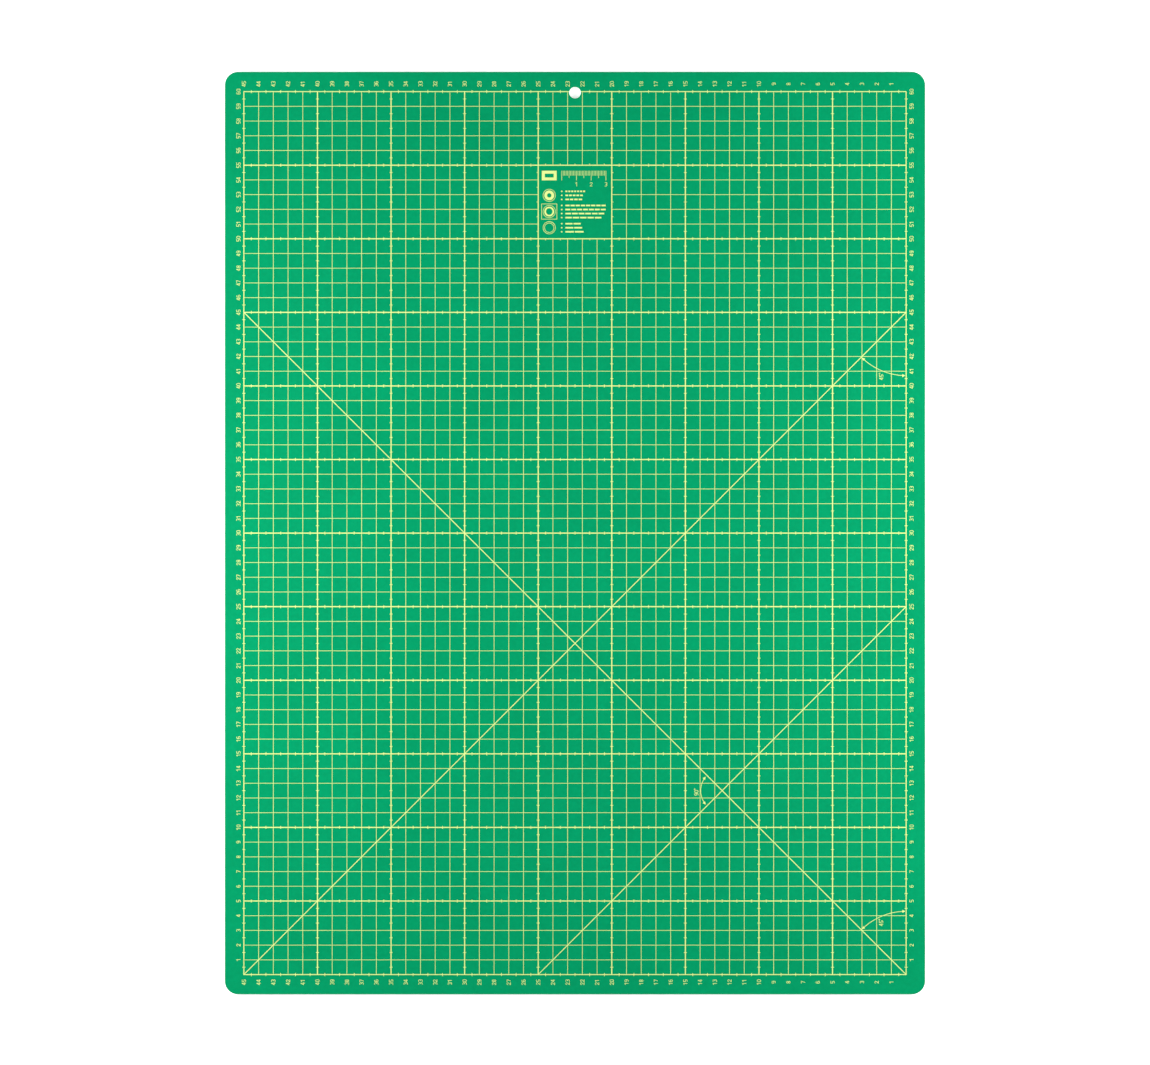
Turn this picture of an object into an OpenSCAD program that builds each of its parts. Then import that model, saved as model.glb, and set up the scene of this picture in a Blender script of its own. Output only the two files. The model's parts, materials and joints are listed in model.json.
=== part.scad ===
// Self healing cutting mat: five PVC plies bonded face to face, with a printed
// centimetre grid, 45 degree lines, numbered scales and a punched hanging hole.
// The mat lies flat with its printed face up. Its origin is the middle of the underside.

/* [Mat] */
// Width of the mat, across the numbered columns
mat_w = 476; // [350:1:900]
// Length of the mat, along its long sides
mat_l = 627; // [450:1:1200]
// Radius of the four corners
corner_r = 9; // [2:0.5:10]

/* [Plies] */
// Thickness of each of the two self healing skins
skin_t = 0.5; // [0.3:0.05:1.5]
// Thickness of each of the two cushion plies
cushion_t = 0.3; // [0.2:0.05:1.5]
// Thickness of the stiff core ply
core_t = 0.4; // [0.2:0.05:2]

/* [Hanging hole] */
// Diameter of the punched hole
hole_d = 8; // [3:0.1:11]
// Distance from the top line of the frame down to the middle of the hole
hole_drop = 0.5; // [0:0.1:2]

/* [Grid] */
// Spacing of the grid lines
cell = 10; // [8:0.01:12]
// Every so many grid lines, one is wide
wide_every = 5; // [4:1:6]
// Least distance from the grid to the edge of the mat
least_margin = 12; // [12:0.5:30]
// Width of the wide lines
wide_line_w = 0.65; // [0.5:0.05:1.2]
// Width of the narrow lines
narrow_line_w = 0.3; // [0.2:0.05:0.6]
// Width of the frame line around the grid
frame_line_w = 0.55; // [0.4:0.05:1.2]
// Width of the 45 degree lines
slant_line_w = 0.5; // [0.4:0.05:1]
// Cells from the bottom corner to where the short 45 degree line meets the side
short_slant_cells = 25; // [10:5:30]
// Thickness of one printed layer of ink
ink_t = 0.03; // [0.02:0.01:0.06]

/* [Gauge panel] */
// Least number of cells from the top of the frame down to the panel
panel_down = 5; // [5:1:10]
// Distance from the sides of the panel to what is in it
panel_clear = 2; // [1:0.1:3]
// Height of the short rule
rule_h = 6.5; // [5:0.5:8]
// Width of the lines of the gauge
gauge_line_w = 0.3; // [0.2:0.05:0.7]
// Gap between the lines of the hole gauge
ring_gap = 0.7; // [0.3:0.05:0.8]
// Opening of the smallest ring of the hole gauge
least_opening = 3; // [1:0.5:3.5]
// Stitch length of the finest row of dashes
stitch_first = 2; // [1.5:0.1:3]
// How much longer the stitches of each next row are
stitch_step = 0.5; // [0.2:0.1:0.6]
// Gap between two dashes
dash_gap = 0.7; // [0.4:0.1:1]
// Height of a row of dashes
dash_h = 1; // [0.6:0.1:1.3]

/* [Numerals] */
// Height of a numeral
digit_h = 2.7; // [2.2:0.02:3.4]
// Width of a numeral
digit_w = 1.7; // [1.6:0.1:1.9]
// Width of the strokes of a numeral
stroke_w = 0.3; // [0.25:0.05:0.5]
// Gap between the two numerals of a number
digit_gap = 0.3; // [0.2:0.05:0.6]
// Distance from the frame to the middle of the side numerals
side_numeral_out = 3.7; // [3:0.1:6]
// Distance from the frame to the middle of the top and bottom numerals
end_numeral_out = 5.2; // [4:0.1:6]

/* [Angle marks] */
// Radius of the 45 degree arcs
wide_arc_r = 43; // [30:1:48]
// Radius of the 90 degree arc
small_arc_r = 14.6; // [10:0.1:18]
// Length and width of an arrowhead
arrow_size = 2; // [1.2:0.1:3]
// Gap between an arrowhead and the line that it points to, at the 45 degree arcs
arrow_gap = 0.3; // [0.1:0.1:1]
// The same gap at the 90 degree arc
small_arrow_gap = 1; // [0.1:0.1:2]

/* [Hidden] */
$fn = 96;

// Heights of the plies, from the table up
cushion_z = skin_t;
core_z = cushion_z + cushion_t;
upper_z = core_z + core_t;
top_skin_z = upper_z + cushion_t;
mat_t = top_skin_z + skin_t;

// The grid holds whole cells, centred on the mat
cols = floor((mat_w - 2 * least_margin) / cell);
rows = floor((mat_l - 2 * least_margin) / cell);
grid_w = cols * cell;
grid_l = rows * cell;
slant_cells = min(cols, rows);

// The hole lies between two grid lines, at or next to the middle
hole_x = cols % 2 == 0 ? cell / 2 : 0;
hole_y = grid_l / 2 - hole_drop;

// The panel takes the middle one of the wide squares, below the topmost ones
panel_col = cols - wide_every * (floor(cols / wide_every / 2) + 1);
panel_row = wide_every * (floor((rows - panel_down) / wide_every) - 1);
panel_size = wide_every * cell;

// Angle marks: line widths and label places
arc_line_w = 0.35;
label_out = 4.2;
small_label_out = 3;
degree_r = 0.35;
degree_line_w = 0.25;

// Gauge: a header with the short rule above three equal rows, in the panel's own frame
header_h = 2 * rule_h;
ring_step = (panel_size - 2 * panel_clear - header_h) / 3;
square_w = ring_step - ring_gap / 2;
ring_d = square_w - 2 * gauge_line_w - 2 * ring_gap;
ring_x = panel_clear + ring_step / 2;
ring_y = panel_clear + header_h + ring_step / 2;
dot_x = panel_clear + ring_step + 3 * dash_h;
dash_x = dot_x + 2.5 * dash_h;
dash_row_step = ring_step / 4;
full_row = panel_size - panel_clear - dash_x;
rule_x = dot_x;
rule_y = 2 * digit_h - ring_gap - panel_clear - header_h;
rule_l = 10 * floor((panel_size - panel_clear - rule_x) / 10);
block_w = square_w - 2 * gauge_line_w;
slot_w = 0.6 * block_w;
slot_h = 0.4 * rule_h;

mat_green = "#06a577";
core_green = "#0b7d55";
ink_yellow = "#f4ee7a";

// ---- plies -------------------------------------------------------------

module mat_outline() {
  square([mat_w - 2 * corner_r, mat_l], center = true);
  square([mat_w, mat_l - 2 * corner_r], center = true);
  for (x = [-1, 1])
    for (y = [-1, 1])
      translate([x * (mat_w / 2 - corner_r), y * (mat_l / 2 - corner_r)]) circle(r = corner_r);
}

module hanging_hole() {
  translate([hole_x, hole_y, -1]) cylinder(d = hole_d, h = mat_t + 3);
}

module ply(z, t) {
  difference() {
    translate([0, 0, z]) linear_extrude(t) mat_outline();
    hanging_hole();
  }
}

module top_skin() {
  color(mat_green) ply(top_skin_z, skin_t);
}

module upper_cushion() {
  color(core_green) ply(upper_z, cushion_t);
}

module stiff_core() {
  color(core_green) ply(core_z, core_t);
}

module lower_cushion() {
  color(core_green) ply(cushion_z, cushion_t);
}

module bottom_skin() {
  color(mat_green) ply(0, skin_t);
}

// ---- print: drawn from the bottom left corner of the grid -----------------

// A layer of ink, counted from the face of the mat. The layers lie on each other where
// lines cross.
module ink(layer) {
  color(ink_yellow)
    difference() {
      translate([-grid_w / 2, -grid_l / 2, mat_t + layer * ink_t]) linear_extrude(ink_t) children();
      hanging_hole();
    }
}

module line_up(x, y0, y1, w) {
  translate([x - w / 2, y0]) square([w, y1 - y0]);
}

module line_across(y, x0, x1, w) {
  translate([x0, y - w / 2]) square([x1 - x0, w]);
}

// Grid lines are numbered from the right hand side
function is_narrow(k) = k % wide_every != 0;

// A narrow line leaves out the panel
function in_panel_x(i) = i > panel_col && i < panel_col + wide_every;
function in_panel_y(j) = j > panel_row && j < panel_row + wide_every;

module print_narrow_lengthwise() {
  ink(0)
    for (i = [1:cols - 1])
      if (is_narrow(cols - i)) {
        line_up(i * cell, 0, in_panel_x(i) ? panel_row * cell : grid_l, narrow_line_w);
        if (in_panel_x(i)) line_up(i * cell, (panel_row + wide_every) * cell, grid_l, narrow_line_w);
      }
}

module print_narrow_crosswise() {
  ink(1)
    for (j = [1:rows - 1])
      if (is_narrow(j)) {
        line_across(j * cell, 0, in_panel_y(j) ? panel_col * cell : grid_w, narrow_line_w);
        if (in_panel_y(j)) line_across(j * cell, (panel_col + wide_every) * cell, grid_w, narrow_line_w);
      }
}

// A 45 degree line from a point on the bottom line, up to the right or to the left
module slant(x, cells, side) {
  translate([x, 0])
    rotate([0, 0, 90 - side * 45])
      translate([0, -slant_line_w / 2])
        square([cells * cell * sqrt(2), slant_line_w]);
}

module print_wide_lines() {
  edge = frame_line_w / 2;
  ink(2) {
    for (i = [0:cols])
      if (i == 0 || i == cols)
        line_up(i * cell, -edge, grid_l + edge, frame_line_w);
      else if (!is_narrow(cols - i))
        line_up(i * cell, 0, grid_l, wide_line_w);
    for (j = [0:rows])
      if (j == 0 || j == rows)
        line_across(j * cell, -edge, grid_w + edge, frame_line_w);
      else if (!is_narrow(j))
        line_across(j * cell, 0, grid_w, wide_line_w);
    intersection() {
      square([grid_w, grid_l]);
      union() {
        slant(0, slant_cells + 1, 1);
        slant(grid_w, slant_cells + 1, -1);
        slant(grid_w - short_slant_cells * cell, short_slant_cells + 1, 1);
      }
    }
  }
}

// ---- numerals --------------------------------------------------------------

// Strokes run along centre lines, from these places in a numeral's own frame
left = stroke_w / 2;
right = digit_w - stroke_w / 2;
bottom = stroke_w / 2;
top = digit_h - stroke_w / 2;
middle = digit_h / 2;
half_w = digit_w / 2;
big_r = (right - left) / 2;
small_r = (top - middle) / 2;

module across(y, x0, x1) {
  line_across(y, x0, x1, stroke_w);
}

module upright(x, y0, y1) {
  line_up(x, y0, y1, stroke_w);
}

module ring(outer, inner) {
  difference() {
    circle(d = outer);
    circle(d = inner);
  }
}

// Part of a ring of the given middle radius and line width, between two angles
module bend(x, y, r, a0, a1, w = stroke_w) {
  span = a1 - a0;
  far = 2 * r;
  translate([x, y])
    intersection() {
      ring(2 * r + w, 2 * r - w);
      if (span < 360)
        polygon([[0, 0], for (k = [0:4]) far * [cos(a0 + k * span / 4), sin(a0 + k * span / 4)]]);
    }
}

module digit_0() {
  bend(half_w, top - big_r, big_r, 0, 180);
  bend(half_w, bottom + big_r, big_r, 180, 360);
  upright(left, bottom + big_r, top - big_r);
  upright(right, bottom + big_r, top - big_r);
}

module digit_1() {
  stem = 0.6 * digit_w;
  upright(stem, 0, digit_h);
  flag_y = digit_h - 1.5 * stroke_w;
  polygon([[stem, digit_h], [left, flag_y], [left, flag_y - 1.2 * stroke_w], [stem, top - stroke_w]]);
}

module digit_2() {
  bend(half_w, top - big_r, big_r, 0, 180);
  polygon([[0, bottom], [1.4 * stroke_w, bottom], [digit_w, top - big_r], [digit_w - stroke_w, top - big_r]]);
  across(bottom, 0, digit_w);
}

module bowl_right(y) {
  bend(right - small_r, y, small_r, -90, 90);
}

module digit_3() {
  across(top, left, right - small_r);
  bowl_right(middle + small_r);
  across(middle, half_w - left, right - small_r);
  bowl_right(middle - small_r);
  across(bottom, left, right - small_r);
}

module digit_4() {
  bar_y = 0.3 * digit_h;
  stem = 0.7 * digit_w;
  upright(stem, 0, digit_h);
  across(bar_y, 0, digit_w);
  polygon([[0, bar_y], [1.2 * stroke_w, bar_y], [stem, top], [stem, digit_h], [stem - stroke_w, digit_h]]);
}

module digit_5() {
  across(top, left, digit_w);
  upright(left + stroke_w / 4, middle, top);
  across(middle, stroke_w / 4, right - small_r);
  bowl_right(middle - small_r);
  across(bottom, left, right - small_r);
}

module digit_6() {
  bend(half_w, bottom + big_r, big_r, 0, 360);
  upright(left, bottom + big_r, top - big_r);
  bend(half_w, top - big_r, big_r, 40, 180);
}

module digit_7() {
  across(top, 0, digit_w);
  foot = 0.3 * digit_w;
  polygon([[foot, 0], [foot + stroke_w, 0], [digit_w, top], [digit_w - stroke_w, top]]);
}

module digit_8() {
  bend(half_w, top - small_r, small_r, 0, 360);
  bend(half_w, bottom + small_r, small_r, 0, 360);
}

module digit(n) {
  if (n == 0) digit_0();
  if (n == 1) digit_1();
  if (n == 2) digit_2();
  if (n == 3) digit_3();
  if (n == 4) digit_4();
  if (n == 5) digit_5();
  if (n == 6) digit_6();
  if (n == 7) digit_7();
  if (n == 8) digit_8();
  if (n == 9) translate([digit_w, digit_h]) rotate([0, 0, 180]) digit_6();
}

function number_w(n) = len(str(n)) * (digit_w + digit_gap) - digit_gap;

// A number, upright and centred on its own middle
module number(n) {
  written = str(n);
  for (k = [0:len(written) - 1])
    translate([k * (digit_w + digit_gap) - number_w(n) / 2, -digit_h / 2])
      digit(ord(written[k]) - ord("0"));
}

// All scale numbers read upwards
module number_at(x, y, n) {
  translate([x, y]) rotate([0, 0, 90]) number(n);
}

module side_numbers(x) {
  ink(0)
    for (k = [1:rows])
      number_at(x, k * cell, k);
}

// The numbers along the ends count from the right
module end_numbers(y) {
  ink(0)
    for (k = [1:cols])
      number_at((cols - k) * cell, y, k);
}

module print_numerals_left() {
  side_numbers(-side_numeral_out);
}

module print_numerals_right() {
  side_numbers(grid_w + side_numeral_out);
}

module print_numerals_top() {
  end_numbers(grid_l + end_numeral_out);
}

module print_numerals_bottom() {
  end_numbers(-end_numeral_out);
}

// ---- angle marks -------------------------------------------------------------

// An arc with an arrowhead at each end, which stops short of the lines it runs between
module arrow_arc(x, y, r, a0, a1, gap) {
  clear = (slant_line_w / 2 + gap) / r * 180 / PI;
  head = arrow_size / r * 180 / PI;
  bend(x, y, r, a0 + clear + head / 2, a1 - clear - head / 2, arc_line_w);
  translate([x, y]) {
    rotate([0, 0, a0 + clear])
      polygon([[r, 0], [r + arrow_size / 2, arrow_size], [r - arrow_size / 2, arrow_size]]);
    rotate([0, 0, a1 - clear])
      polygon([[r, 0], [r - arrow_size / 2, -arrow_size], [r + arrow_size / 2, -arrow_size]]);
  }
}

// A number of degrees, with its middle at a distance and an angle from a corner
module degrees_label(x, y, r, a, n) {
  translate([x + r * cos(a), y + r * sin(a)])
    rotate([0, 0, 90]) {
      number(n);
      bend(number_w(n) / 2 + degree_r + digit_gap, digit_h / 2 - degree_r / 2, degree_r, 0, 360, degree_line_w);
    }
}

module print_angle_marks() {
  crossing = short_slant_cells * cell / 2;
  ink(3) {
    arrow_arc(grid_w, slant_cells * cell, wide_arc_r, 225, 270, arrow_gap);
    degrees_label(grid_w, slant_cells * cell, wide_arc_r + label_out, 249, 45);
    arrow_arc(grid_w, 0, wide_arc_r, 90, 135, arrow_gap);
    degrees_label(grid_w, 0, wide_arc_r - label_out, 116, 45);
    arrow_arc(grid_w - crossing, crossing, small_arc_r, 135, 225, small_arrow_gap);
    degrees_label(grid_w - crossing, crossing, small_arc_r + small_label_out, 185, 90);
  }
}

// ---- gauge panel: drawn from the top left corner of the panel ----------------

// Rings of one outer size around openings of three sizes, the middle one in a square
module hole_gauge() {
  inner_ring = ring_d - 2 * gauge_line_w - 2 * ring_gap;
  opening_step = (inner_ring - 2 * gauge_line_w - least_opening) / 2;
  for (k = [0:2])
    translate([ring_x, -ring_y - k * ring_step]) {
      ring(ring_d, ring_d - 2 * gauge_line_w);
      ring(inner_ring, least_opening + k * opening_step);
    }
  translate([ring_x, -ring_y - ring_step])
    difference() {
      square(square_w, center = true);
      square(square_w - 2 * gauge_line_w, center = true);
    }
}

// A dot and a row of dashes, each one stitch long
module stitch_row(n, y, length) {
  stitch = stitch_first + n * stitch_step;
  for (k = [0:floor(length / stitch) - 1])
    translate([dash_x + k * stitch, y - dash_h / 2]) square([stitch - dash_gap, dash_h]);
  translate([dot_x, y]) circle(d = dash_h);
}

// Rows of dashes beside each ring: three, four and three
module stitch_gauge() {
  row_counts = [3, 4, 3];
  rows_before = [0, 3, 7];
  row_lengths = [full_row / 2, full_row, full_row / 2];
  for (g = [0:2])
    for (k = [0:row_counts[g] - 1])
      stitch_row(
        rows_before[g] + k,
        -ring_y - g * ring_step + ((row_counts[g] - 1) / 2 - k) * dash_row_step,
        row_lengths[g]
      );
}

// How far a millimetre mark stops short of the longest ones
function mark_short(k) = k % 10 == 0 ? 0 : k % 5 == 0 ? rule_h / 4 : rule_h / 2;

// A short millimetre rule, with a number under each centimetre
module short_rule() {
  for (k = [0:rule_l])
    line_up(rule_x + k, rule_y + mark_short(k), rule_y + rule_h, gauge_line_w);
  for (k = [1:rule_l / 10])
    translate([rule_x + k * 10, rule_y - digit_h]) number(k);
}

// A block with a slot, for checking the size of a slot punch
module slot_gauge() {
  translate([ring_x, rule_y + rule_h / 2])
    difference() {
      square([block_w, rule_h], center = true);
      square([slot_w, slot_h], center = true);
    }
}

module print_gauge() {
  ink(0)
    translate([panel_col * cell, panel_row * cell + panel_size]) {
      hole_gauge();
      stitch_gauge();
      short_rule();
      slot_gauge();
    }
}

top_skin();
upper_cushion();
stiff_core();
lower_cushion();
bottom_skin();
print_narrow_lengthwise();
print_narrow_crosswise();
print_wide_lines();
print_angle_marks();
print_gauge();
print_numerals_left();
print_numerals_right();
print_numerals_top();
print_numerals_bottom();
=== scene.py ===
import json
import math

import bpy
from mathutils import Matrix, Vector
from mathutils.geometry import delaunay_2d_cdt


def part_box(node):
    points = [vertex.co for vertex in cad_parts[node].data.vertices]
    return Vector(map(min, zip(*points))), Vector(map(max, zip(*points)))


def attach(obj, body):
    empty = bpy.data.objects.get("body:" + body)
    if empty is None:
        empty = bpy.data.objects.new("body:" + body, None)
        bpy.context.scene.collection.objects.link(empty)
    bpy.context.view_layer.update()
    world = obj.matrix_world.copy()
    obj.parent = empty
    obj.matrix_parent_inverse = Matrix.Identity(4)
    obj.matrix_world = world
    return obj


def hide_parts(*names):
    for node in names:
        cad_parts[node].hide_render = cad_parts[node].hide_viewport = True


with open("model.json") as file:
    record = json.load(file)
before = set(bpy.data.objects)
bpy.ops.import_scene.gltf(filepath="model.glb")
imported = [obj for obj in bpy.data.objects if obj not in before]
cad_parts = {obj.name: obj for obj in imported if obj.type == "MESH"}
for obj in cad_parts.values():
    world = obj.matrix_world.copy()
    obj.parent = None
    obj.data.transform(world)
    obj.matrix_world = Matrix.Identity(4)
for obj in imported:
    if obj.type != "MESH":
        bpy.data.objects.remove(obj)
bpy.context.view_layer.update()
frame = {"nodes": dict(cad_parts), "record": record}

# ---- Bottom skin --------------------------------------------------------------------
# The skin that lies on the bench: a calendered sheet of soft filled PVC, green right through.
# All the plies are fused into one sheet under heat, and a steel rule die cuts the outline and
# the hanging hole in one stroke, which rolls the outer arrises over a little.

MM = 0.001
ROOT = "root"

low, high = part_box("bottom_skin")
mat_w = (high.x - low.x) / MM
mat_l = (high.y - low.y) / MM
corner_r = 9
corner_steps = 16
hole_steps = 64
hanging_hole = next(m for m in frame["record"]["mounts"] if m["name"] == "hanging_hole")
hole_x, hole_y = (value / MM for value in hanging_hole["pos_m"][:2])
hole_r = hanging_hole["dims"]["r_mm"]


def circle(x, y, r, steps):
    """Points around a circle, in millimetres."""
    turn = 2 * math.pi / steps
    return [(x + r * math.cos(k * turn), y + r * math.sin(k * turn)) for k in range(steps)]


def mat_edge(inset):
    """The outline of the mat, drawn in by an inset."""
    r = corner_r - inset
    points = []
    for quarter in range(4):
        side_x = 1 if quarter in (0, 3) else -1
        side_y = 1 if quarter in (0, 1) else -1
        middle_x = side_x * (mat_w / 2 - corner_r)
        middle_y = side_y * (mat_l / 2 - corner_r)
        for step in range(corner_steps + 1):
            angle = (quarter + step / corner_steps) * math.pi / 2
            points.append((middle_x + r * math.cos(angle), middle_y + r * math.sin(angle)))
    return points


def union(shapes, holes=()):
    """One flat sheet of triangles over all the shapes, less the holes, and for each of its
    points, which of the points given it comes from."""
    points, faces = [], []
    for loop in list(shapes) + list(holes):
        faces.append(list(range(len(points), len(points) + len(loop))))
        points += [Vector(p) for p in loop]
    inside_only = 1
    weld_gap = 0.0001
    flat, _, found, origins, _, sources = delaunay_2d_cdt(points, [], faces, inside_only, weld_gap)
    kept = [
        tuple(face)
        for face, covered_by in zip(found, sources)
        if covered_by and all(k < len(shapes) for k in covered_by)
    ]
    return [tuple(p) for p in flat], kept, origins


def add_mesh(name, points, faces, material):
    """A piece that rides on the mat, from points in millimetres."""
    mesh = bpy.data.meshes.new(name)
    mesh.from_pydata([[value * MM for value in p] for p in points], [], faces)
    mesh.validate()
    mesh.materials.append(material)
    piece = bpy.data.objects.new(name, mesh)
    bpy.context.scene.collection.objects.link(piece)
    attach(piece, ROOT)
    return piece


def add_ply(name, profile, material):
    """A ply that stands for its CAD node. The profile is its cut edge, from the bottom up:
    how far each level is drawn in from the outline, and where it lies in the ply's thickness."""
    low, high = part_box(name)
    thickness = (high.z - low.z) / MM
    levels = [(inset, low.z / MM + share * thickness) for inset, share in profile]
    points, faces = [], []
    edge_count = len(mat_edge(0))
    ring_count = edge_count + hole_steps
    for inset, z in levels:
        edge = mat_edge(inset) + circle(hole_x, hole_y, hole_r + inset, hole_steps)
        points += [(x, y, z) for x, y in edge]
    for level in range(len(levels) - 1):
        below, above = level * ring_count, (level + 1) * ring_count
        for start, count, outward in ((0, edge_count, True), (edge_count, hole_steps, False)):
            for k in range(count):
                a, b = start + k, start + (k + 1) % count
                wall = (below + a, below + b, above + b, above + a)
                faces.append(wall if outward else wall[::-1])
    for level, flip in ((0, True), (len(levels) - 1, False)):
        inset = levels[level][0]
        hole = circle(hole_x, hole_y, hole_r + inset, hole_steps)
        _, lid, origins = union([mat_edge(inset)], [hole])
        for face in lid:
            corners = tuple(level * ring_count + origins[k][0] for k in face)
            faces.append(corners[::-1] if flip else corners)
    piece = add_mesh(name + "_sheet", points, faces, material)
    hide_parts(name)
    return piece


def linear(hex_colour):
    """A colour written as sRGB hex, as the linear values that a shader takes."""
    values = [int(hex_colour[k:k + 2], 16) / 255 for k in (1, 3, 5)]
    return [v / 12.92 if v <= 0.04045 else ((v + 0.055) / 1.055) ** 2.4 for v in values] + [1.0]


def add_node(tree, kind, inputs=None, **settings):
    """A node with its settings, and with each input either set to a value or linked."""
    node = tree.nodes.new(kind)
    for name, value in settings.items():
        setattr(node, name, value)
    for name, value in (inputs or {}).items():
        if isinstance(value, bpy.types.NodeSocket):
            tree.links.new(value, node.inputs[name])
        else:
            node.inputs[name].default_value = value
    return node


def new_material(name):
    """An empty node material, its tree, its output and the place on the object in metres."""
    material = bpy.data.materials.new(name)
    material.use_nodes = True
    tree = material.node_tree
    tree.nodes.clear()
    output = add_node(tree, "ShaderNodeOutputMaterial")
    place = add_node(tree, "ShaderNodeTexCoord").outputs["Object"]
    return material, tree, output, place


def calendered_pvc(name, deep, pale, grain_depth, roughness):
    """Soft PVC, calendered against a matt roller: a fine pebble grain that scatters the light
    into a soft sheen, with faint clouds of tone from the filler."""
    material, tree, output, place = new_material(name)
    cloud_size = 60 * MM
    grain_size = 0.7 * MM  # the real grain is about 0.2 mm, too fine to show
    speck_size = 2.5 * MM
    clouds = add_node(tree, "ShaderNodeTexNoise", {
        "Vector": place, "Scale": 1 / cloud_size, "Detail": 3.0, "Roughness": 0.55,
    })
    specks = add_node(tree, "ShaderNodeTexNoise", {
        "Vector": place, "Scale": 1 / speck_size, "Detail": 2.0, "Roughness": 0.6,
    })
    tone = add_node(tree, "ShaderNodeMath", {
        0: clouds.outputs["Fac"], 1: specks.outputs["Fac"],
    }, operation="ADD")
    share = add_node(tree, "ShaderNodeMapRange", {
        "Value": tone.outputs[0], "From Min": 0.7, "From Max": 1.3,
    })
    colour = add_node(tree, "ShaderNodeMix", {
        "Factor": share.outputs["Result"], "A": linear(deep), "B": linear(pale),
    }, data_type="RGBA")
    grain = add_node(tree, "ShaderNodeTexNoise", {
        "Vector": place, "Scale": 1 / grain_size, "Detail": 2.0, "Roughness": 0.5,
    })
    bump = add_node(tree, "ShaderNodeBump", {
        "Height": grain.outputs["Fac"], "Strength": 0.6, "Distance": grain_depth,
    })
    uneven = 0.04
    gloss = add_node(tree, "ShaderNodeMapRange", {
        "Value": specks.outputs["Fac"], "To Min": roughness - uneven, "To Max": roughness + uneven,
    })
    # The filler at the surface leaves hardly any gloss, even at a low angle
    pvc = add_node(tree, "ShaderNodeBsdfPrincipled", {
        "Base Color": colour.outputs["Result"], "Roughness": gloss.outputs["Result"], "IOR": 1.53,
        "Specular IOR Level": 0.03, "Normal": bump.outputs["Normal"],
    })
    tree.links.new(pvc.outputs[0], output.inputs["Surface"])
    return material


skin_grain = 0.05 * MM
skin_pvc = calendered_pvc("calendered soft PVC", "#008454", "#008d5b", skin_grain, 0.7)

# The die rolls the outer arris over: it is drawn in most at the face, less at the shoulder, and
# not at all past the middle of the skin. Depths are shares of the skin's thickness.
skin_arris = 0.3
arris_shoulder = 0.1
shoulder_depth = 0.18
arris_depth = 0.5
add_ply(
    "bottom_skin",
    [(skin_arris, 0), (arris_shoulder, shoulder_depth), (0, arris_depth), (0, 1)],
    skin_pvc,
)

# ---- Lower cushion --------------------------------------------------------------------
# A ply of softer, more plasticised PVC that lets a blade in and closes behind it. Cut with the
# rest, its edge draws back a little between the firmer plies.

cushion_grain = 0.03 * MM
cushion_pvc = calendered_pvc("plasticised cushion PVC", "#0a8258", "#0c8c60", cushion_grain, 0.6)
drawn_back = 0.08
hollow_start = 0.25
cushion_profile = [(0, 0), (drawn_back, hollow_start), (drawn_back, 1 - hollow_start), (0, 1)]
add_ply("lower_cushion", cushion_profile, cushion_pvc)

# ---- Stiff core -----------------------------------------------------------------------
# A sheet of unplasticised PVC in the middle, which keeps the mat flat and stops the blade. It
# cuts clean, so its edge stands square and a shade darker and glossier than the soft plies.

core_grain = 0.01 * MM
core_pvc = calendered_pvc("rigid core PVC", "#086a48", "#0a7450", core_grain, 0.42)
add_ply("stiff_core", [(0, 0), (0, 1)], core_pvc)

# ---- Upper cushion ----------------------------------------------------------------------
# The same soft PVC ply above the core, right under the cutting side. It gives way to the blade's
# tip, and is fused to the skin and the core.

add_ply("upper_cushion", cushion_profile, cushion_pvc)

# ---- Top skin ---------------------------------------------------------------------------
# The cutting side: the same skin of soft filled PVC as below, calendered with the same fine
# grain. It carries the print, and the die rolled its upper arris over.

add_ply(
    "top_skin",
    [(0, 0), (0, 1 - arris_depth), (arris_shoulder, 1 - shoulder_depth), (skin_arris, 1)],
    skin_pvc,
)

# ---- Printed grid -----------------------------------------------------------------------
# Pale yellow ink, screen printed in one pass: a frame, narrow lines each centimetre, wide lines
# each five, half centimetre ticks across the wide lines, three 45 degree lines and their marks.

cell = 10
wide_every = 5
low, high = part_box("print_wide_lines")
frame_w = 0.55
wide_w = 0.65
narrow_w = 0.3
slant_w = 0.5
tick_w = 0.4
tick_l = 2
cols = round((high.x - low.x) / MM / cell)
rows = round((high.y - low.y) / MM / cell)
grid_x = -cols * cell / 2
grid_y = -rows * cell / 2
short_slant = 25
slant_cells = min(cols, rows)
ink_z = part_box("top_skin")[1].z / MM
ink_t = 0.03


def bar(x0, y0, x1, y1):
    """A rectangle from its lower left to its upper right corner."""
    return [(x0, y0), (x1, y0), (x1, y1), (x0, y1)]


def moved(shape, x, y, turn=0):
    """A shape turned about its origin by an angle in degrees, and then moved."""
    c, s = math.cos(math.radians(turn)), math.sin(math.radians(turn))
    return [(x + c * px - s * py, y + s * px + c * py) for px, py in shape]


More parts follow.
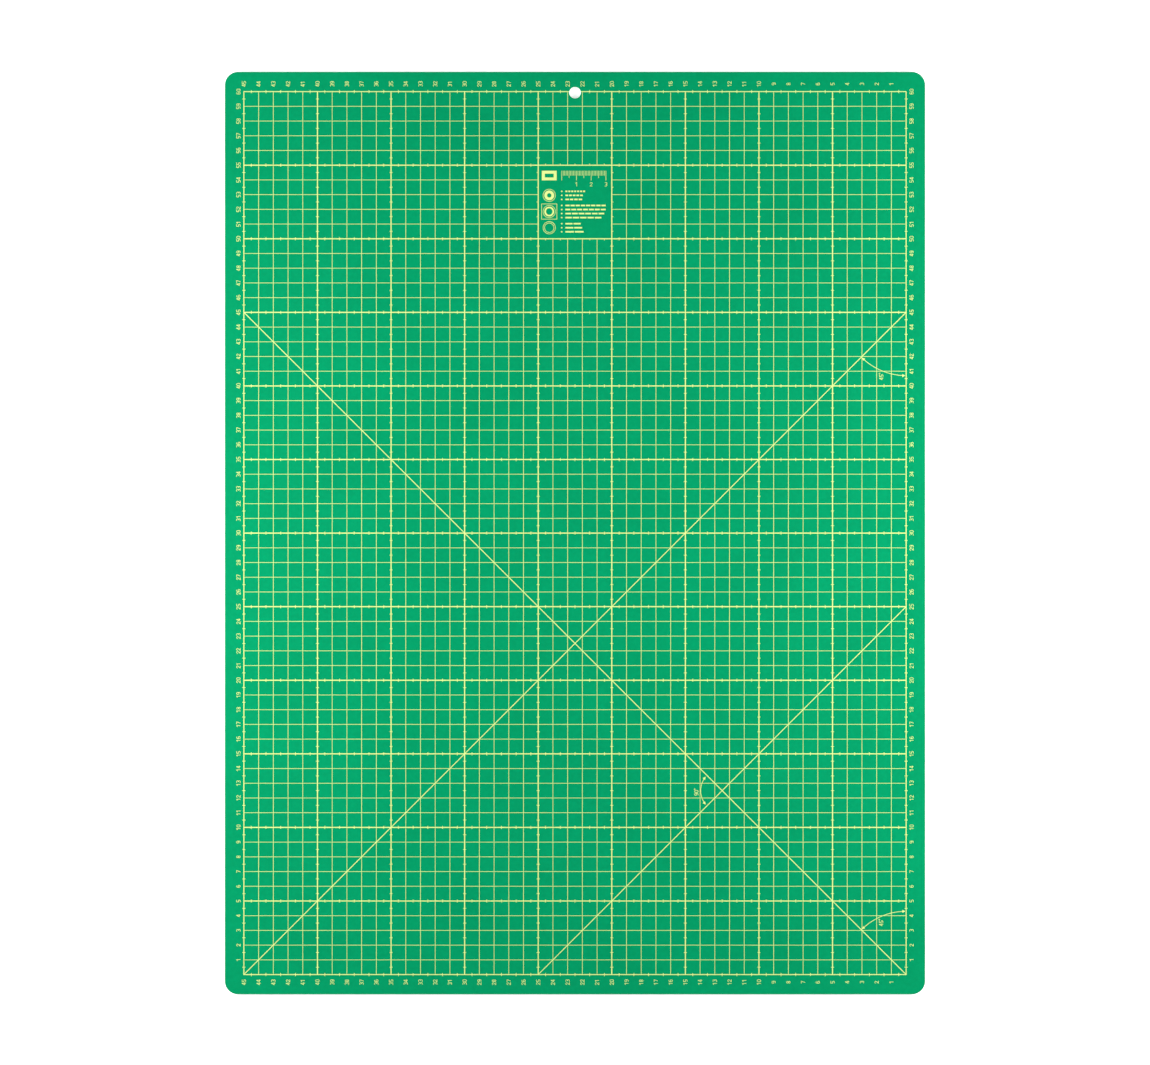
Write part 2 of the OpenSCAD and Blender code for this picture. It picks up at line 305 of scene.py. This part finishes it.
def screen_ink():
    """Screen printing ink on PVC: an opaque, satin film with faint unevenness from the mesh."""
    material, tree, output, place = new_material("screen printed vinyl ink")
    patch_size = 8 * MM
    mesh_size = 0.8 * MM  # the real mesh is about 0.15 mm, too fine to show
    thread_mark = 0.01 * MM
    patches = add_node(tree, "ShaderNodeTexNoise", {
        "Vector": place, "Scale": 1 / patch_size, "Detail": 2.0,
    })
    threads = add_node(tree, "ShaderNodeTexNoise", {
        "Vector": place, "Scale": 1 / mesh_size, "Detail": 1.0,
    })
    colour = add_node(tree, "ShaderNodeMix", {
        "Factor": patches.outputs["Fac"], "A": linear("#c9dd82"), "B": linear("#d1e58c"),
    }, data_type="RGBA")
    bump = add_node(tree, "ShaderNodeBump", {
        "Height": threads.outputs["Fac"], "Strength": 0.3, "Distance": thread_mark,
    })
    ink = add_node(tree, "ShaderNodeBsdfPrincipled", {
        "Base Color": colour.outputs["Result"], "Roughness": 0.6, "IOR": 1.5,
        "Specular IOR Level": 0.1, "Normal": bump.outputs["Normal"],
    })
    tree.links.new(ink.outputs[0], output.inputs["Surface"])
    return material


ink = screen_ink()


def add_film(name, shapes, replaced, holes=()):
    """A closed film of ink on the top skin, which stands for the CAD nodes of the print."""
    flat, faces, _ = union(shapes, holes)
    count = len(flat)
    points = [(x, y, ink_z) for x, y in flat] + [(x, y, ink_z + ink_t) for x, y in flat]
    sides = {}
    for a, b, c in faces:
        for edge in ((a, b), (b, c), (c, a)):
            sides[edge] = True
    walls = [(a, b, b + count, a + count) for a, b in sides if (b, a) not in sides]
    lower_face = [face[::-1] for face in faces]
    upper_face = [tuple(k + count for k in face) for face in faces]
    piece = add_mesh(name, points, lower_face + upper_face + walls, ink)
    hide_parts(*replaced)
    return piece


def at_grid(x, y):
    """A place counted in cells from the lower left corner of the grid."""
    return grid_x + x * cell, grid_y + y * cell


# The blank square below the hole leaves out the narrow lines
panel_col = cols - wide_every * (cols // wide_every // 2 + 1)
panel_row = rows - 2 * wide_every


def across_panel(k, first):
    """Whether a line, by its number, runs through the square that starts at another."""
    return first < k < first + wide_every


def line_width(k, count):
    """The width of a grid line, by its number and the number of cells."""
    if k in (0, count):
        return frame_w
    return narrow_w if (count - k) % wide_every else wide_w


grid_lines = []
for i in range(cols + 1):
    half = line_width(i, cols) / 2
    breaks = [0, rows]
    if across_panel(i, panel_col):
        breaks = [0, panel_row, panel_row + wide_every, rows]
    for start, end in zip(breaks[::2], breaks[1::2]):
        (x, y0), (_, y1) = at_grid(i, start), at_grid(i, end)
        grid_lines.append(bar(x - half, y0, x + half, y1))
for j in range(rows + 1):
    half = line_width(j, rows) / 2
    breaks = [0, cols]
    if across_panel(j, panel_row):
        breaks = [0, panel_col, panel_col + wide_every, cols]
    for start, end in zip(breaks[::2], breaks[1::2]):
        (x0, y), (x1, _) = at_grid(start, j), at_grid(end, j)
        grid_lines.append(bar(x0, y - half, x1, y + half))
# The pen of the film plotter leaves the corners of the frame round
pen_steps = 16
for i, j in ((0, 0), (cols, 0), (cols, rows), (0, rows)):
    grid_lines.append(circle(*at_grid(i, j), frame_w / 2, pen_steps))

# Each 45 degree line: where it leaves the bottom of the frame, its cells across and its turn
slants = []
slant_runs = (
    (0, slant_cells, 45),
    (cols, slant_cells, 135),
    (cols - short_slant, short_slant, 45),
)
for start, cells, turn in slant_runs:
    x, y = at_grid(start, 0)
    strip = bar(-slant_w / 2, -slant_w / 2, cells * cell * math.sqrt(2) + slant_w / 2, slant_w / 2)
    slants.append(moved(strip, x, y, turn))

# Half centimetre ticks cross the wide lines and the frame, but don't reach into the square
ticks = []
for i in range(cols + 1):
    if line_width(i, cols) == narrow_w:
        continue
    for j in range(rows):
        x, y = at_grid(i, j + 0.5)
        beside = panel_row <= j < panel_row + wide_every
        right_end = x if beside and i == panel_col else x + tick_l / 2
        left_end = x if beside and i == panel_col + wide_every else x - tick_l / 2
        ticks.append(bar(left_end, y - tick_w / 2, right_end, y + tick_w / 2))
for j in range(rows + 1):
    if line_width(j, rows) == narrow_w:
        continue
    for i in range(cols):
        x, y = at_grid(i + 0.5, j)
        beside = panel_col <= i < panel_col + wide_every
        upper_end = y if beside and j == panel_row else y + tick_l / 2
        lower_end = y if beside and j == panel_row + wide_every else y - tick_l / 2
        ticks.append(bar(x - tick_w / 2, lower_end, x + tick_w / 2, upper_end))


# Numerals are drawn in strokes of one width, each from the lower left corner of its own box
digit_w = 1.7
digit_h = 2.7
stroke_w = 0.3
digit_gap = 0.3
left, right = stroke_w / 2, digit_w - stroke_w / 2
bottom, top = stroke_w / 2, digit_h - stroke_w / 2
middle = digit_h / 2
half_w = digit_w / 2
big_r = half_w - left
small_r = (top - middle) / 2


def arc_band(x, y, r, start, end, width, steps=10):
    """Part of a ring of a middle radius and a width, between two angles in degrees."""
    turns = [math.radians(start + (end - start) * k / steps) for k in range(steps + 1)]
    outer = [(x + (r + width / 2) * math.cos(a), y + (r + width / 2) * math.sin(a)) for a in turns]
    inner = [(x + (r - width / 2) * math.cos(a), y + (r - width / 2) * math.sin(a)) for a in turns]
    return outer + inner[::-1]


def ring_band(x, y, r, width):
    """A whole ring, in two halves."""
    return [arc_band(x, y, r, 0, 180, width), arc_band(x, y, r, 180, 360, width)]


def upright(x, y0, y1):
    """A stroke up the numeral."""
    return bar(x - stroke_w / 2, y0, x + stroke_w / 2, y1)


def across(y, x0, x1):
    """A stroke across the numeral."""
    return bar(x0, y - stroke_w / 2, x1, y + stroke_w / 2)


def bowl(y):
    """The right hand bowl of a 3 or a 5."""
    return arc_band(right - small_r, y, small_r, -90, 90, stroke_w)


# Where the strokes of 1, 4 and 7 stand, where the flag of 1 ends, how wide the slanting strokes
# of 2 and 4 are at the foot, and where the upper bow of 6 ends, in degrees
stem_1 = 0.6 * digit_w
flag_y = digit_h - 1.5 * stroke_w
flag_end = flag_y - 1.2 * stroke_w
foot_2 = 1.4 * stroke_w
stem_4 = 0.7 * digit_w
bar_4 = 0.3 * digit_h
foot_4 = 1.2 * stroke_w
foot_7 = 0.3 * digit_w
bow_6 = 40
six = ring_band(half_w, bottom + big_r, big_r, stroke_w) + [
    upright(left, bottom + big_r, top - big_r),
    arc_band(half_w, top - big_r, big_r, bow_6, 180, stroke_w),
]
# From 0 to 9
digits = [
    [
        arc_band(half_w, top - big_r, big_r, 0, 180, stroke_w),
        arc_band(half_w, bottom + big_r, big_r, 180, 360, stroke_w),
        upright(left, bottom + big_r, top - big_r),
        upright(right, bottom + big_r, top - big_r),
    ],
    [
        upright(stem_1, 0, digit_h),
        [(stem_1, digit_h), (left, flag_y), (left, flag_end), (stem_1, top - stroke_w)],
    ],
    [
        arc_band(half_w, top - big_r, big_r, 0, 180, stroke_w),
        [
            (0, bottom),
            (foot_2, bottom),
            (digit_w, top - big_r),
            (digit_w - stroke_w, top - big_r),
        ],
        across(bottom, 0, digit_w),
    ],
    [
        across(top, left, right - small_r),
        bowl(middle + small_r),
        across(middle, half_w - left, right - small_r),
        bowl(middle - small_r),
        across(bottom, left, right - small_r),
    ],
    [
        upright(stem_4, 0, digit_h),
        across(bar_4, 0, digit_w),
        [
            (0, bar_4),
            (foot_4, bar_4),
            (stem_4, top),
            (stem_4, digit_h),
            (stem_4 - stroke_w, digit_h),
        ],
    ],
    [
        across(top, left, digit_w),
        upright(left + stroke_w / 4, middle, top),
        across(middle, stroke_w / 4, right - small_r),
        bowl(middle - small_r),
        across(bottom, left, right - small_r),
    ],
    six,
    [
        across(top, 0, digit_w),
        [(foot_7, 0), (foot_7 + stroke_w, 0), (digit_w, top), (digit_w - stroke_w, top)],
    ],
    ring_band(half_w, top - small_r, small_r, stroke_w)
    + ring_band(half_w, bottom + small_r, small_r, stroke_w),
    [moved(shape, digit_w, digit_h, 180) for shape in six],
]


def number_width(number):
    """How wide a number is, with the gaps between its numerals."""
    return len(str(number)) * (digit_w + digit_gap) - digit_gap


def number_at(x, y, number):
    """A number with its middle at a place. All of them read upwards."""
    shapes = []
    for k, figure in enumerate(str(number)):
        start = k * (digit_w + digit_gap) - number_width(number) / 2
        shapes += [moved(shape, start, -digit_h / 2) for shape in digits[int(figure)]]
    return [moved(shape, x, y, 90) for shape in shapes]


# Angle marks: an arc from line to line, and the degrees beside it with a small raised ring
arc_w = 0.35
arc_steps = 32
arrow = 2
degree_r = 0.35
degree_w = 0.25


def angle_mark(i, j, r, start, end, arrow_gap, label_r, label_turn, number):
    """An arc about a place on the grid with an arrowhead at each end, and its degrees."""
    x, y = at_grid(i, j)
    gap = math.degrees((slant_w / 2 + arrow_gap) / r)
    head = math.degrees(arrow / r)
    start += gap
    end -= gap
    outer, inner = r + arrow / 2, r - arrow / 2
    shapes = [
        arc_band(x, y, r, start + head / 2, end - head / 2, arc_w, arc_steps),
        moved([(r, 0), (outer, arrow), (inner, arrow)], x, y, start),
        moved([(r, 0), (inner, -arrow), (outer, -arrow)], x, y, end),
    ]
    label_x = x + label_r * math.cos(math.radians(label_turn))
    label_y = y + label_r * math.sin(math.radians(label_turn))
    beside = number_width(number) / 2 + degree_r + digit_gap
    degree = ring_band(beside, digit_h / 2 - degree_r / 2, degree_r, degree_w)
    label = number_at(label_x, label_y, number)
    label += [moved(shape, label_x, label_y, 90) for shape in degree]
    return shapes + label


wide_arc_r = 43
wide_gap = 0.3
wide_out = 4.2
small_arc_r = 14.6
small_gap = 1
small_out = 3
crossing = short_slant / 2
angle_marks = (
    angle_mark(cols, slant_cells, wide_arc_r, 225, 270, wide_gap, wide_arc_r + wide_out, 249, 45)
    + angle_mark(cols, 0, wide_arc_r, 90, 135, wide_gap, wide_arc_r - wide_out, 116, 45)
    + angle_mark(
        cols - crossing, crossing, small_arc_r, 135, 225,
        small_gap, small_arc_r + small_out, 185, 90,
    )
)
add_film(
    "grid_print",
    grid_lines + slants + ticks + angle_marks,
    ["print_narrow_lengthwise", "print_narrow_crosswise", "print_wide_lines", "print_angle_marks"],
    [circle(hole_x, hole_y, hole_r, hole_steps)],
)

# ---- Printed numerals ---------------------------------------------------------------------
# The same ink, in the same pass: centimetres from 1 to 60 up both long sides, and from 1 to 45
# along both ends, counted from the right.

side_out = 3.7
end_out = 5.2
for side, i, out in (("left", 0, -side_out), ("right", cols, side_out)):
    numbers = []
    for k in range(1, rows + 1):
        x, y = at_grid(i, k)
        numbers += number_at(x + out, y, k)
    add_film("numerals_" + side, numbers, ["print_numerals_" + side])
for end, j, out in (("top", rows, end_out), ("bottom", 0, -end_out)):
    numbers = []
    for k in range(1, cols + 1):
        x, y = at_grid(cols - k, j)
        numbers += number_at(x, y + out, k)
    add_film("numerals_" + end, numbers, ["print_numerals_" + end])

# ---- Printed gauge ------------------------------------------------------------------------
# The same ink in the blank square: a slot and a short rule, rings for checking hole sizes and
# rows of dashes for checking stitch lengths. The CAD node has its shape already.

gauge = frame["nodes"]["print_gauge"]
gauge.data.materials.clear()
gauge.data.materials.append(ink)

# ---- Studio ---------------------------------------------------------------------------------
# The mat lies on a round cove of matt white paper, lit from behind so that it stays white: a wide
# floor whose rim bends up into a wall. Two soft boxes stand low on the left and on the right.

paper_z = -0.2 * MM
disc_r = 0.5
cove_r = 5
bend_r = 1
bend_steps = 8
wall_h = 4
cove_steps = 96
# Each ring of the cove, from the middle outwards: its radius, and how high it lies
cove = [(disc_r, 0)]
for k in range(bend_steps + 1):
    turn = k * math.pi / 2 / bend_steps
    cove.append((cove_r + bend_r * math.sin(turn), bend_r - bend_r * math.cos(turn)))
cove.append((cove_r + bend_r, wall_h))
points, faces = [], [tuple(range(cove_steps))]
for r, z in cove:
    points += [(x, y, z + paper_z) for x, y in circle(0, 0, r, cove_steps)]
for level in range(len(cove) - 1):
    inner = level * cove_steps
    for k in range(cove_steps):
        after = (k + 1) % cove_steps
        faces.append((inner + k, inner + k + cove_steps, inner + after + cove_steps, inner + after))
paper_mesh = bpy.data.meshes.new("paper_cove")
paper_mesh.from_pydata(points, [], faces)
paper_mesh.shade_smooth()
paper_cove = bpy.data.objects.new("paper_cove", paper_mesh)
bpy.context.scene.collection.objects.link(paper_cove)
# Uncoated paper scatters the light evenly and shows no highlight
material, tree, output, _ = new_material("matt white paper")
paper = add_node(tree, "ShaderNodeBsdfPrincipled", {
    "Base Color": linear("#f6f6f6"), "Roughness": 0.9, "Specular IOR Level": 0.2,
    "Emission Color": linear("#ffffff"), "Emission Strength": 0.6,
})
tree.links.new(paper.outputs[0], output.inputs["Surface"])
paper_mesh.materials.append(material)

box_x = 0.75
box_y = 0.01
box_z = 0.35
box_w = 0.3
box_l = 0.48
box_power = 8.9
for side in (-1, 1):
    box_data = bpy.data.lights.new("soft_box", "AREA")
    box_data.shape = "RECTANGLE"
    box_data.size = box_w
    box_data.size_y = box_l
    box_data.energy = box_power
    soft_box = bpy.data.objects.new("soft_box", box_data)
    bpy.context.scene.collection.objects.link(soft_box)
    soft_box.location = (side * box_x, box_y, box_z)
    soft_box.rotation_euler = (0, side * math.atan2(box_x, box_z), 0)
    soft_box.visible_camera = False

room_light = 0.08
world = bpy.data.worlds.new("pale_room")
bpy.context.scene.world = world
world.use_nodes = True
room = world.node_tree.nodes["Background"]
room.inputs["Color"].default_value = (1, 1, 1, 1)
room.inputs["Strength"].default_value = room_light

# The camera looks straight down on the middle of the mat, from a little over 1.5 metres
sensor_w = 36
lens = 70
view_w = 0.7825
camera_y = 0.4 * MM
camera_data = bpy.data.cameras.new("camera")
camera_data.sensor_width = sensor_w
camera_data.lens = lens
camera = bpy.data.objects.new("camera", camera_data)
bpy.context.scene.collection.objects.link(camera)
camera.location = (0, camera_y, view_w * lens / sensor_w)
bpy.context.scene.camera = camera

bpy.context.scene.view_settings.view_transform = "Standard"
